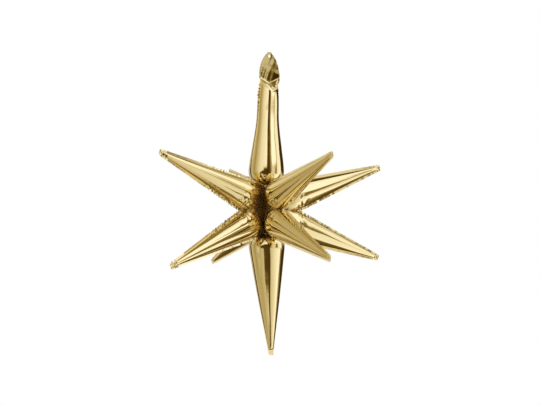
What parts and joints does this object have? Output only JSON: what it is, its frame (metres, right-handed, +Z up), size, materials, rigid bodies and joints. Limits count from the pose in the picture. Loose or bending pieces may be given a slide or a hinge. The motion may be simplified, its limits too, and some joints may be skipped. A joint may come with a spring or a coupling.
{
  "type": "star foil balloon",
  "caption": "Inflated gold foil balloon in the shape of a many-pointed star, hung as a party decoration by the hole in its filling tail.",
  "frame": {"origin": "centre of the hanging hole in the filling tail, in the middle of the film's thickness", "axes": "+Z up as the balloon hangs, X in the plane of the flat tail and of the panel with the top and bottom spikes, -Y towards the front"},
  "size_m": [0.7741, 0.7822, 0.9098],
  "materials": {
    "gold_foil": "mirror-bright champagne gold metallised film, gathered into fine puckers along its welded seams"
  },
  "bodies": {
    "root": {"foil_balloon": "gold_foil"}
  },
  "joints": []
}
